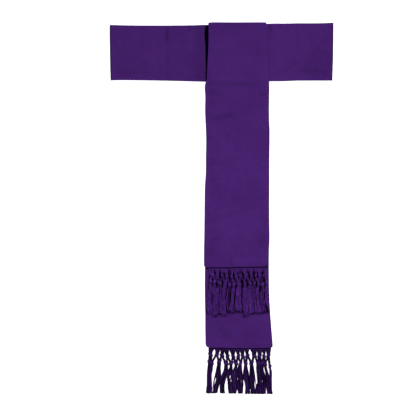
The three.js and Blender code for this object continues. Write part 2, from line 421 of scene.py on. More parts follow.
def cutStrip(name, cut, route, way, place):
    # a flat grid is cut to the strip's size, one row of cells for each station, and laid in place
    deselectAll()
    bpy.ops.mesh.primitive_grid_add(
        x_subdivisions=cut["cellsAcross"], y_subdivisions=len(route) - 1, size=1)
    strip = bpy.context.active_object
    strip.name = name
    strip.data.name = name
    flat = getPoints(strip.data)
    share = flat[:, 0] + 0.5
    row = np.rint((flat[:, 1] + 0.5) * (len(route) - 1)).astype(int)
    spots = place(row, share)
    setPoints(strip.data, spots * mm)
    corner = np.empty(len(strip.data.loops), dtype=int)
    strip.data.loops.foreach_get("vertex_index", corner)
    setUv(strip.data, np.stack([share[corner] * cut["width"], way[row][corner]], axis=1) * mm)
    return strip


def thicken(strip, wall, edgeRound):
    wallModifier = strip.modifiers.new("wall", 'SOLIDIFY')
    wallModifier.thickness = wall * mm
    wallModifier.offset = 0
    rounded = strip.modifiers.new("turnedEdge", 'BEVEL')
    rounded.width = edgeRound * mm
    rounded.segments = 3
    rounded.limit_method = 'ANGLE'
    rounded.angle_limit = math.radians(55)
    applyAll(strip)
    bpy.ops.object.shade_smooth()


# heights of the middle of each layer, read from the solids
bandWall = (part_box("waistband_back")[1][2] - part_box("waistband_back")[0][2]) / mm
tapeGap = 0.3
fallWall = 1.0
heightBack = bandWall / 2
heightFront = bandWall * 1.5 + tapeGap
heightRearFall = bandWall + tapeGap + fallWall / 2
heightOverRear = fallWall * 1.5 + tapeGap
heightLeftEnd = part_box("fastening_loop_tape")[0][2] / mm - tapeGap - bandWall / 2
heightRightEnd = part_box("fastening_hook_tape")[1][2] / mm + tapeGap + bandWall / 2
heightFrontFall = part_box("fall_front")[1][2] / mm - fallWall / 2

band = {
    "width": 122,
    "cellsAcross": 46,
    "cell": 2.8,
    "foldCell": 0.75,
    "endFold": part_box("waistband_front_right")[1][0] / mm + 0.6,
    "foldHeight": 5.2,
    "puffFrom": 216,         # mm from the middle, where the upper layer rises to an end fold
    "puffCell": 1.6,
    "leftEnd": 40,
    "leftRise": (-64, -42),
    "rightEnd": -25,
    "rightRise": (109, 142),
    "riseCell": 2,
    "lean": (2.2, 2.42),     # how far the ends lean in at the lower edge, left and right
    "leanReach": (222, 243),
    "proudReach": (190, 236),
    "proudWave": 0.22,
    "slack": 0.25,
    "wall": bandWall - 0.1,
    "edgeRound": 0.45,
    "edges": {
        "frontLeft": rowsOf("x lower upper",
            (-243, 277.6, 398.4), (-221, 278.1, 398.1), (-178, 277.8, 397.5),
            (-108, 276.6, 397.5), (-56, 275.2, 398.2), (-37, 274.6, 398.6), (40, 276.5, 398.6)),
        "frontRight": rowsOf("x lower upper",
            (-25, 276.0, 399.4), (102, 275.3, 400.7), (119, 275.4, 401.3), (162, 276.9, 402.3),
            (206, 277.2, 402.4), (243, 277.0, 403.1)),
        "back": rowsOf("x lower upper",
            (-243, 278.6, 398.0), (-100, 278.2, 396.6), (0, 277.6, 397.8), (100, 277.2, 399.6),
            (243, 277.4, 402.8)),
    },
    # in these two tables dark is painted shade along a crease; the last row of the first is the
    # painted shadow in the slit beside the front fall
    "creasesLeft": rowsOf("start end width rise dark bow",
        ((-119, 398), (-119, 356), 3.0, -0.78, 0.24), ((-112, 396), (-115, 362), 4.5, 0.65),
        ((-120, 362), (-118, 279), 4.0, -0.33, 0.06),
        ((-69.5, 397), (-70.5, 382), 2.0, -0.52, 0.18), ((-64, 396), (-66, 380), 3.5, 0.39),
        ((-173, 394), (-174.5, 338), 4, -0.33, 0.08), ((-232, 298), (-168, 322), 6, 0.78, 0, 3),
        ((-170, 321), (-138, 289), 5, 0.65, 0, 2), ((-236, 300), (-160, 305), 10, -0.35, 0.06),
        ((-236, 293), (-132, 295), 3.2, -0.35, 0.08),
        ((-162, 325), (-175, 308), 4.5, -0.30, 0.13), ((-118, 328), (-116, 308), 5, -0.20, 0.08),
        ((-118, 300), (-116, 282), 5, -0.12, 0.10), ((-104, 300), (-62, 318), 8, 0.33),
        ((-33.6, 302), (-33.4, 268), 1.6, 0, 0.8)),
    "creasesRight": rowsOf("start end width rise dark bow",
        ((104, 404), (108.5, 378), 3.6, -0.52, 0.24), ((113, 402), (111, 382), 4.0, 0.39),
        ((166, 398), (166, 334), 4, -0.33, 0.10), ((116, 284), (165, 320), 6, 0.72, 0, 3),
        ((163, 320), (228, 294), 6, 0.78, 0, 4), ((108, 286), (160, 312), 5, -0.39, 0.11),
        ((154, 322), (170, 314), 7, -0.30, 0.10), ((166, 302), (238, 292), 7, -0.45, 0.12),
        ((196, 372), (232, 350), 8, 0.26)),
    "creasesBack": rowsOf("start end width rise bow",
        ((-152, 392), (-141, 306), 6, 0.22), ((-66, 296), (18, 330), 7, 0.25, 3),
        ((58, 394), (63, 345), 5, 0.18), ((118, 298), (192, 318), 7, 0.25, 3)),
    # the next five are painted shade, hemLight a painted highlight: how dark or light, and
    # between which places it grows or fades
    "foldShade": (0.28, 237, 243),
    # painted highlight along the lower edge, where the turned edge catches the light
    "hemLight": (0.05, 2, 7),         # over the lower edge
    "slitShade": (0.06, -62, -42),
    "besideShade": (0.035, 106, 150),
    "fallShade": (0.10, -78, -40),
    "fallShadeEnd": (60, 100),
    # painted shade, left and right: the band is painted darker, more at its left, as its ribs lie
    # across those of the falls and catch less light
    "turnShade": (0.08, 0.03),    # its ribs lie across those of the falls, so it looks deeper
    "turnReach": (-120, 120),
}


def waistbandRoute():
    # the loop is laid from the hidden left end, round both folds, to the hidden right end
    cell, foldCell = band["cell"], band["foldCell"]
    puffCell, riseCell, puff = band["puffCell"], band["riseCell"], band["puffFrom"]
    leftLow, leftHigh = band["leftRise"]
    rightHigh, rightLow = band["rightRise"]
    radius = (band["foldHeight"] - bandWall) / 2
    foldTop = heightBack + 2 * radius
    turn = band["endFold"] - radius - bandWall / 2
    stretches = {
        "leftEnd": run(band["leftEnd"], leftHigh, heightLeftEnd, heightLeftEnd, cell),
        "leftRise": run(leftHigh, leftLow, heightLeftEnd, heightFront, riseCell),
        "left": run(leftLow, -puff, heightFront, heightFront, cell),
        "leftPuff": run(-puff, -turn, heightFront, foldTop, puffCell),
        "leftFold": bend(-turn, foldTop, heightBack, -1, foldCell),
        "back": run(-turn, turn, heightBack, heightBack, cell),
        "rightFold": bend(turn, heightBack, foldTop, 1, foldCell),
        "rightPuff": run(turn, puff, foldTop, heightFront, puffCell),
        "right": run(puff, rightLow, heightFront, heightFront, cell),
        "rightRise": run(rightLow, rightHigh, heightFront, heightRightEnd, riseCell),
        "rightEnd": run(rightHigh, band["rightEnd"], heightRightEnd, heightRightEnd, cell),
    }
    return joinRoute(stretches)


def buildWaistband(cloth):
    route, way, marks = waistbandRoute()
    edges = band["edges"]

    def place(row, share):
        x = route[row, 0]
        z = route[row, 1].copy()
        onLeft = row <= marks["leftFold"]
        onRight = row > marks["back"]
        lower, upper = (
            np.where(onLeft, read(edges["frontLeft"], "x", side, x),
                     np.where(onRight, read(edges["frontRight"], "x", side, x),
                              read(edges["back"], "x", side, x)))
            for side in ("lower", "upper"))
        y = lower + (upper - lower) * share
        atEnd = ease(np.abs(x), *band["leanReach"]) * (1 - share) ** 2
        x = x + atEnd * np.where(x < 0, band["lean"][0], -band["lean"][1])
        # the end folds stand a little higher in some places than in others
        proud = np.clip(z - heightFront, 0, None) * ease(np.abs(x), *band["proudReach"])
        z = z + proud * (band["proudWave"] * np.sin(7.1 * share + 0.8 * onLeft) - 0.1)
        free = ease(z, heightBack + 0.3, heightFront)
        topLeft = onLeft & (row > marks["leftEnd"])
        topRight = onRight & (row <= marks["rightRise"])
        z = z + free * np.where(topLeft, creases(band["creasesLeft"], x, y), 0)
        z = z + free * np.where(topRight, creases(band["creasesRight"], x, y), 0)
        beneath = (row > marks["leftFold"]) & (row <= marks["back"])
        z = z + np.where(beneath, creases(band["creasesBack"], x, y), 0)
        # slack of the upper layer, fuller towards the folds
        wave = np.sin(x / 23 + 1.3 * share) * np.sin(3.1 * share + x / 61)
        z = z + np.where(topLeft | topRight, band["slack"] * (1 + wave) * free, 0)
        return np.stack([x, y, z], axis=1)

    strip = cutStrip("waistbandCloth", band, route, way, place)
    thicken(strip, band["wall"], band["edgeRound"])
    x, y, z = getPoints(strip.data).T / mm
    lower = np.where(x < 0, read(edges["frontLeft"], "x", "lower", x),
                     read(edges["frontRight"], "x", "lower", x))
    onTop = ease(z, heightBack + 0.4, heightFront)
    # painted shade in the creases, at the end folds, near the slit, beside and under the front
    # fall and over the whole band, and a painted highlight along the lower edge
    shade = onTop * np.clip(creases(band["creasesLeft"], x, y, "dark")
                            + creases(band["creasesRight"], x, y, "dark"), 0, 1)

    def grown(name, value):
        amount, low, high = band[name]
        return amount * ease(value, low, high)

    shade += grown("foldShade", np.abs(x))
    shade -= onTop * (band["hemLight"][0] - grown("hemLight", y - lower))
    shade += onTop * (x < 0) * grown("slitShade", x)
    shade += onTop * (x > 60) * (band["besideShade"][0] - grown("besideShade", x))
    shade += onTop * grown("fallShade", x) * (1 - ease(x, *band["fallShadeEnd"]))
    shade += faille["restShade"] + np.interp(x, band["turnReach"], band["turnShade"])
    paint(strip.data, "deepShade", shade)
    strip.data.materials.append(cloth)
    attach(strip, "root")
    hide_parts("waistband_back", "waistband_front_left", "waistband_front_right")
    print("waistband laid, cut length", round(way[-1]), "mm")


fall = {
    "width": 139,
    "cellsAcross": 54,
    "cell": 2.7,
    "foldCell": 0.9,
    "hemCell": 1.2,
    "rearHemSlope": (10, 22),    # mm from the hem, where the turning steps down to one layer
    "frontHemSlope": (11, 24),
    "rearRise": (16, 2),         # mm below the band's edge, where the rear fall goes under
    "rearSlopeCell": 1.7,
    "slopeCell": 1.8,
    "wall": fallWall,
    "edgeRound": 0.42,
    "bandEdge": 275,
    "drop": 64,                  # mm below the band, in which the front fall comes down
    "dropMore": 14,              # at its right
    "dropAcross": (20, 96),
    "edges": {
        "front": rowsOf("y left right",
            (404, -28.4, 97.2), (396, -28.5, 97.6), (355, -28.6, 98.0), (322, -30.3, 99.7),
            (290, -31.7, 101.9), (280, -32.0, 102.8), (272, -35.1, 103.4), (240, -35.5, 103.6),
            (213, -36.0, 103.4), (191, -35.2, 103.8), (171, -34.3, 104.7), (152, -33.7, 104.7),
            (110, -34.2, 104.2), (73, -34.6, 104.0), (53, -36.0, 104.0), (4, -37.0, 103.8),
            (-45, -37.6, 104.3), (-66, -37.9, 104.5), (-100, -38.5, 102.1), (-119, -38.4, 99.0),
            (-131, -38.0, 98.4)),
        "rear": rowsOf("y left right",
            (404, -28.9, 97.2), (290, -31.0, 101.0), (262, -33.6, 102.2), (152, -32.0, 102.5),
            (-66, -35.9, 103.7), (-127, -36.3, 103.2), (-179, -36.6, 103.8), (-205, -36.3, 104.6),
            (-231, -35.8, 106.3), (-266, -35.6, 109.0), (-292, -35.1, 111.1),
            (-305, -34.7, 111.8)),
    },
    "marginReach": (21, 31),
    "marginSag": rowsOf("y sag",
        (262, 3.4), (284, 3.0), (300, 2.2), (330, 1.3), (370, 0.7), (404, 0.2)),
    "frontHem": -129.7,
    "rearHem": -305.0,
    "frontHemSlant": 2.2,
    "slantReach": (-131, -70),
    "rearHemWave": 0.5,
    "waveReach": (-305, -250),
    "topReach": (392, 403),
    "creasedBelow": 288,
    "hangsFrom": 236,            # mm down, below which the rear fall shows its own creases
    "hangsFully": 262,
    "frontCorner": 4.6,
    "rearCorner": (8.0, 5.0),    # left and right
    # dark is painted shade along a crease, and below zero a painted highlight on a margin or
    # ridge
    "creasesFront": rowsOf("start end width rise dark bow tail",
        ((-34, 271), (76, 268.5), 4.4, -0.49, 0.16), ((30, 269.5), (72, 268.5), 4.4, -0.20, 0.08),
        ((-20, 278), (60, 279), 5, 0.42), ((-33, 251), (-8, 250), 4, -0.42, 0.17),
        ((80, 247), (102, 246), 3.4, -0.56, 0.21), ((-32, 226), (-8, 224), 6, -0.20, 0.08),
        ((-26, 191), (36, 204), 4.6, -0.60, 0.17, 1), ((-22, 202), (34, 214), 7, 0.56),
        ((4, 152), (22, 162), 8, -0.42, 0.15), ((-33, 152), (-20, 152), 3, -0.42, 0.20),
        ((-26, 122), (-8, 122), 5, -0.20, 0.09), ((-30, 92), (26, 99), 4, -0.42, 0.09, 3),
        ((-32, 58), (-14, 60), 5, -0.42, 0.13), ((20, 22), (102, 21), 4, -0.20, 0.05),
        ((-30, -30), (42, -8), 5, -0.70, 0.10), ((40, -8), (98, 4), 5, -0.49, 0.07, 2),
        ((-34, 6), (40, 2), 9, 0.56, -0.08), ((12, 396), (34, 374), 9, 0, 0.05),
        ((97.5, 398), (101, 284), 4, 0, -0.05), ((-30, -32), (-8, -26), 6, -0.20, 0.06),
        ((-32, -51), (-16, -50), 5, -0.20, 0.12), ((-30, -79), (4, -56), 6, -0.56, 0.10),
        ((-28, -92), (-12, -97), 5, -0.30, 0.10), ((90, -54), (86, -90), 13, -0.40, 0.17),
        ((91, -10), (95, -48), 5, -0.42, 0.08),
        ((20.5, -105), (20.5, -126), 2.8, -0.70, 0.24, 0, 0.2),
        ((79, -104), (79, -122), 3.4, -0.40, 0.10, 0, 0.2),
        ((-36, 92), (-37, -22), 9, 0.30, -0.06), ((101, 250), (101, -20), 5, 0.10, -0.04),
        ((70, 180), (98, 130), 12, 0.42), ((40, 60), (96, 84), 14, 0.42)),
    # dark is painted shade along a crease
    "creasesRear": rowsOf("start end width rise dark bow",
        ((-34, -248), (-18, -264), 4, 0.65), ((-30, -252), (-20, -262), 2.4, -0.26, 0.12),
        ((-18, -242), (30, -300), 6, -0.65, 0.09, -3), ((-6, -238), (44, -296), 8, 0.65),
        ((60, -250), (104, -272), 10, 0.39)),
    "creasesCovered": rowsOf("start end width rise bow",
        ((-27, 176), (42, 194), 6, 0.26, 2), ((22, 92), (94, 71), 8, 0.22, 3),
        ((-31, -22), (33, 3), 6, 0.26), ((97, -58), (71, -112), 7, 0.22)),
    "foldShade": 0.2,
    "foldShadeReach": (400.5, 403),
    # painted light and shade along the falls: darker towards the top fold, lighter in the middle
    # of the front fall, where the lamps fall most
    "shadeAlong": rowsOf("y shade",
        (404, 0.065), (375, 0.03), (340, 0.01), (240, -0.002), (150, -0.02), (30, -0.045),
        (-60, -0.035), (-130, -0.015), (-236, -0.005), (-305, 0)),
    "fringeShade": 1.0,
    "fringeTop": (-124, -118),
    "fringeFoot": (-230, -226),
    "fringeEdges": rowsOf("y left right",
        (-128, -39.0, 98.8), (-132.4, -39.0, 98.4), (-134.4, -30.0, 97.8), (-150, -28.4, 97.4),
        (-166, -28.6, 95.8), (-180, -30.4, 93.6), (-200, -34.0, 96.2), (-214, -35.2, 100.0),
        (-228, -34.4, 103.0)),
}


def fallRoute():
    # the strip is laid from the hem of the rear fall, over the band, to the hem of the front fall
    cell, hemCell, slopeCell = fall["cell"], fall["hemCell"], fall["slopeCell"]
    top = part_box("fall_front")[1][1] / mm
    radius = (heightFrontFall - heightRearFall) / 2
    centre = top - radius - fallWall / 2
    bandEdge, low, over = fall["bandEdge"], fallWall / 2, heightOverRear
    frontHemHeight = fallWall * 2.5 + 2 * tapeGap
    rearHem, frontHem = fall["rearHem"], fall["frontHem"]
    rearTurned, rearSingle = (rearHem + gap for gap in fall["rearHemSlope"])
    frontTurned, frontSingle = (frontHem + gap for gap in fall["frontHemSlope"])
    riseFoot, riseTop = (bandEdge - gap for gap in fall["rearRise"])
    stretches = {
        "rearHem": run(rearHem, rearTurned, over, over, hemCell),
        "rearStep": run(rearTurned, rearSingle, over, low, fall["rearSlopeCell"]),
        "rear": run(rearSingle, riseFoot, low, low, cell),
        "rearRise": run(riseFoot, riseTop, low, heightRearFall, slopeCell),
        "behind": run(riseTop, centre, heightRearFall, heightRearFall, cell),
        "topFold": bend(centre, heightRearFall, heightFrontFall, 1, fall["foldCell"]),
        "overBand": run(centre, bandEdge, heightFrontFall, heightFrontFall, cell),
        "front": run(bandEdge, frontSingle, over, over, cell),
        "frontStep": run(frontSingle, frontTurned, over, frontHemHeight, slopeCell),
        "frontHem": run(frontTurned, frontHem, frontHemHeight, frontHemHeight, hemCell),
    }
    return joinRoute(stretches)


def buildFalls(cloth):
    route, way, marks = fallRoute()
    edges = fall["edges"]

    def cornerInset(fromHem, radius):
        gap = np.clip(radius - fromHem, 0, radius)
        return radius - np.sqrt(radius * radius - gap * gap)

    def place(row, share):
        y = route[row, 0].copy()
        z = route[row, 1].copy()
        inFront = row > marks["topFold"]
        left, right = (
            np.where(inFront, read(edges["front"], "y", side, y),
                     read(edges["rear"], "y", side, y))
            for side in ("left", "right"))
        fromHem = np.where(inFront, y - fall["frontHem"], y - fall["rearHem"])
        rearRadius = np.where(share < 0.5, *fall["rearCorner"])
        radius = np.where(inFront, fall["frontCorner"], rearRadius)
        inset = cornerInset(np.clip(fromHem, 0, None), radius)
        left, right = left + inset, right - inset
        x = left + (right - left) * share
        # off the band the front fall drops, sooner at its left than at its right
        reach = fall["drop"] + fall["dropMore"] * ease(x, *fall["dropAcross"])
        drop = ease(fall["bandEdge"] + 2 - y, 0, reach)
        onDrop = inFront & (row <= marks["front"]) & (y <= fall["bandEdge"] + 2)
        z = np.where(onDrop, heightFrontFall - (heightFrontFall - heightOverRear) * drop, z)
        # the left margin sags towards the band near its lower edge
        margin = ease(-x, *fall["marginReach"]) * inFront * (y > fall["bandEdge"] - 6)
        z = z - read(fall["marginSag"], "y", "sag", y) * margin
        y = y + fall["frontHemSlant"] * (1 - ease(y, *fall["slantReach"])) * share * inFront
        wave = fall["rearHemWave"] * (1 - ease(y, *fall["waveReach"])) * np.cos(5 * share)
        y = y + np.where(inFront, 0, wave)
        # the fold line wanders a little, and its corners are rounded
        nearTop = ease(route[row, 0], *fall["topReach"])
        corners = np.exp(-(share / 0.03) ** 2) + 0.6 * np.exp(-((share - 1) / 0.02) ** 2)
        y = y + nearTop * (0.12 * np.sin(9 * share + 0.4) - 0.5 - corners)
        onFront = inFront & (y < fall["creasedBelow"])
        z = z + onFront * np.clip(creases(fall["creasesFront"], x, y) + 0.3, 0, None)
        rearLift = np.clip(creases(fall["creasesRear"], x, y) + 0.3, 0, None)
        z = z + ~inFront * rearLift * ease(-y, fall["hangsFrom"], fall["hangsFully"])
        z = z + np.where(row < marks["rear"], creases(fall["creasesCovered"], x, y), 0)
        return np.stack([x, y, z], axis=1)

    strip = cutStrip("fallCloth", fall, route, way, place)
    thicken(strip, fall["wall"], fall["edgeRound"])
    x, y, z = getPoints(strip.data).T / mm
    rearTop = fallWall + 0.1
    onTop = (y > fall["frontHem"]) & (z > rearTop)
    # painted shade in the creases and along the top fold, painted highlights on some margins, and
    # painted light and shade along the falls
    shade = faille["restShade"] + onTop * creases(fall["creasesFront"], x, y, "dark")
    shade += (y < -fall["hangsFrom"]) * creases(fall["creasesRear"], x, y, "dark")
    shade += fall["foldShade"] * ease(y, *fall["foldShadeReach"])
    shade += read(fall["shadeAlong"], "y", "shade", y)
    # the rear fall is in deep shade under the front fringe
    left, right = (read(fall["fringeEdges"], "y", side, y) for side in ("left", "right"))
    under = ease(x, left - 1.2, left + 1.4) * (1 - ease(x, right - 1.4, right + 1.2))
    under *= ease(y, *fall["fringeFoot"]) * (1 - ease(y, *fall["fringeTop"]))
    under *= z < rearTop + 0.6
    paint(strip.data, "deepShade", np.clip(shade + fall["fringeShade"] * under, 0, 1))
    strip.data.materials.append(cloth)
    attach(strip, "root")
    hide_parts("fall_front", "fall_rear")
    print("falls laid, cut length", round(way[-1]), "mm")
    return strip, way[-1]


yarn = {
    "radius": 0.92,
    "strandsPerLeg": 8,
    "sides": 6,
    "twist": 3.2,          # mm from one ply to the same one again
    "step": 1.75,          # mm between the cuts of a strand
    "headRow": 4.2,        # mm from the heading to where the strands begin to gather
    "knotReach": 2.6,      # half the height of a knot
    "rounds": 70,          # of settling, in which strands pull, sink, push and stay this close
    "pull": 0.12,
    "sink": 0.06,
    "push": 0.32,
    "close": 0.94,
    "packed": 0.82,        # soft yarn sinks together to this share of the piled height
    "spindle": 1.3,        # how pointed the openings are
    "ragged": 0.22,
    "knotSwell": 2.4,      # in strand radii, added to the width of what a knot holds
    "tipThinner": 0.4,
    "lowShade": 0.6,       # of a strand's tone, along its underside
    "coveredDepth": 0.8,
    "turnThick": 1.5,
    "turnLowShade": 0.3,
    "turnTwists": 9,
    "knotTurns": rowsOf("along slope swell",
        (1.9, 20, 0.92), (0.3, 26, 1.0), (-1.5, 22, 0.9)),
}

# a bundle leaves the heading between left and right and is knotted at x, y; a tassel is tied at
# x, y from the legs of two bundles and hangs inside its left and right edges at the listed rows;
# an opening is a spindle from top to foot that no strand crosses
rearFringe = {
    "deep": "#0C0318",
    "light": "#462070",
    "heading": -307.6,
    "base": 0.1,
    "reach": -404.4,
    "reachJitter": 0.8,
    "curl": 0.5,
    "wave": 0.9,
    "seed": 11,
    "sides": (-36, 110),
    "shadeLine": (-307.4, -307.2),
    "openness": 0.85,
    "deepShare": 0.42,
    "lockDepth": 0.72,
    "rootShade": 0.85,
    "knotTone": (0.75, 1.0),
    "bundles": rowsOf("left right x y wide",
        (-27.9, -16.2, -23.8, -319.6, 7.0), (-16.0, -2.8, -10.6, -320.6, 7.8),
        (-2.6, 5.8, 1.0, -321.6, 5.6), (6.0, 15.6, 12.0, -323.2, 5.4),
        (16.0, 30.4, 25.2, -323.4, 5.6), (30.8, 38.8, 36.6, -322.6, 5.4),
        (39.0, 49.6, 46.2, -323.6, 5.6), (50.0, 61.2, 56.0, -322.3, 5.6),
        (62.4, 76.6, 71.4, -322.0, 6.6), (77.0, 88.8, 82.2, -322.8, 6.6),
        (89.2, 95.8, 91.9, -323.0, 4.6), (96.2, 107.0, 101.4, -321.3, 6.0)),
    "rows": [-355.5, -366.4, -386.0, -396.0, -404.6],
    "tassels": rowsOf("legs x y wide left right reach",
        (3, -24.0, -337.0, 10.0,
         (-30.6, -31.6, -31.2, -31.8, -33.2), (-20.7, -22.8, -21.6, -21.0, -20.3), -403.8),
        (2, -5.0, -334.6, 5.2,
         (-14.0, -15.6, -17.8, -18.6, -19.8), (-0.6, -1.6, -5.6, -8.0, -9.0), -403.8),
        (2, 10.2, -338.4, 6.2, (5.6, -1.0, -3.6, -3.8, -3.8), (14.4, 12.2, 5.6, 6.0, 7.2)),
        (2, 20.6, -338.4, 5.4, (14.6, 12.2, 13.8, 14.4, 15.8), (23.1, 23.3, 23.3, 23.4, 23.8)),
        (2, 31.0, -338.4, 5.8, (23.1, 23.3, 23.3, 23.4, 23.8), (31.0, 32.3, 33.6, 33.8, 32.2)),
        (2, 41.0, -339.4, 5.2, (31.0, 32.3, 33.6, 33.8, 35.6), (44.2, 46.2, 48.4, 47.0, 46.4)),
        (2, 52.6, -337.4, 5.2,
         (47.8, 46.2, 48.8, 51.2, 51.2), (58.1, 59.6, 62.6, 62.4, 62.1), -405.4),
        (2, 66.0, -337.4, 6.4,
         (61.5, 60.0, 62.6, 62.4, 63.4), (70.8, 73.4, 76.0, 73.9, 74.0), -405.4),
        (2, 80.4, -338.0, 7.6,
         (75.0, 76.4, 76.6, 73.9, 74.0), (83.9, 85.0, 85.3, 84.8, 84.4), -405.4),
        (2, 88.8, -337.4, 8.0,
         (83.9, 85.0, 85.3, 84.8, 84.4), (93.4, 95.7, 97.5, 96.8, 96.0), -405.4),
        (2, 96.6, -341.0, 5.6,
         (95.6, 95.7, 97.5, 98.2, 98.8), (100.3, 104.2, 103.8, 105.3, 106.0), -405.4),
        (1, 104.6, -345.9, 3.6,
         (104.4, 104.2, 103.8, 105.3, 106.0), (109.2, 109.4, 108.6, 109.0, 111.6), -405.6)),
    "openings": rowsOf("top foot wide at",
        ((-15.2, -307.6), (-18.4, -324.8), 7.8, 0.5), ((-2.8, -310.6), (-5.8, -327.3), 5.4, 0.55),
        ((5.9, -313.7), (8.9, -332.8), 6.4, 0.6), ((16.6, -310.6), (20.8, -331.7), 6.8, 0.5),
        ((30.9, -313.0), (31.2, -329.3), 6.2, 0.5), ((39.6, -312.6), (42.4, -327.1), 4.4, 0.6),
        ((50.3, -312.2), (52.3, -328.9), 4.1, 0.4), ((60.9, -307.3), (64.4, -327.6), 8.8, 0.55),
        ((77.0, -313.8), (77.4, -328.4), 4.0, 0.4), ((89.3, -314.6), (87.2, -329.7), 4.8, 0.4),
        ((96.4, -312.6), (97.2, -328.7), 4.2, 0.5), ((-25.5, -333.7), (-25.0, -335.4), 2.9, 0.5),
        ((-12.2, -330.4), (-21.0, -389.9), 7.4, 0.25),
        ((-12.4, -369.0), (-15.2, -383.4), 2.6, 0.5),
        ((-19.2, -393.2), (-19.8, -400.4), 1.8, 0.4), ((3.4, -331.5), (-0.4, -364.9), 7.6, 0.38),
        ((15.2, -335.7), (16.2, -350.0), 4.8, 0.55), ((26.4, -335.5), (25.9, -350.9), 5.2, 0.5),
        ((37.4, -333.0), (36.8, -342.2), 4.4, 0.6), ((46.7, -333.3), (45.8, -346.5), 5.7, 0.5),
        ((46.2, -348.8), (45.8, -357.9), 3.3, 0.4), ((57.6, -332.0), (60.4, -364.4), 5.6, 0.25),
        ((70.0, -331.9), (78.2, -382.5), 5.0, 0.2), ((72.6, -378.6), (73.5, -395.4), 2.6, 0.4),
        ((90.9, -346.6), (95.7, -364.2), 2.4, 0.5), ((98.6, -333.6), (104.2, -366.4), 5.4, 0.4),
        ((19.4, -364.5), (17.7, -371.6), 3.3, 0.5), ((20.5, -375.1), (20.5, -378.4), 2.4, 0.5),
        ((35.1, -371.0), (34.7, -373.6), 2.4, 0.5), ((88.5, -377.3), (89.0, -379.4), 2.4, 0.5),
        ((9.6, -372.5), (10.9, -414.4), 7.2, 0.45), ((-4.3, -383.4), (-8.0, -414.4), 4.4, 0.6),
        ((49.7, -377.3), (48.9, -414.4), 5.0, 0.4), ((34.0, -396.3), (34.0, -414.4), 3.8, 0.3),
        ((62.8, -394.8), (62.8, -401.2), 1.6, 0.5), ((97.7, -394.0), (97.7, -414.4), 2.6, 0.4)),
}

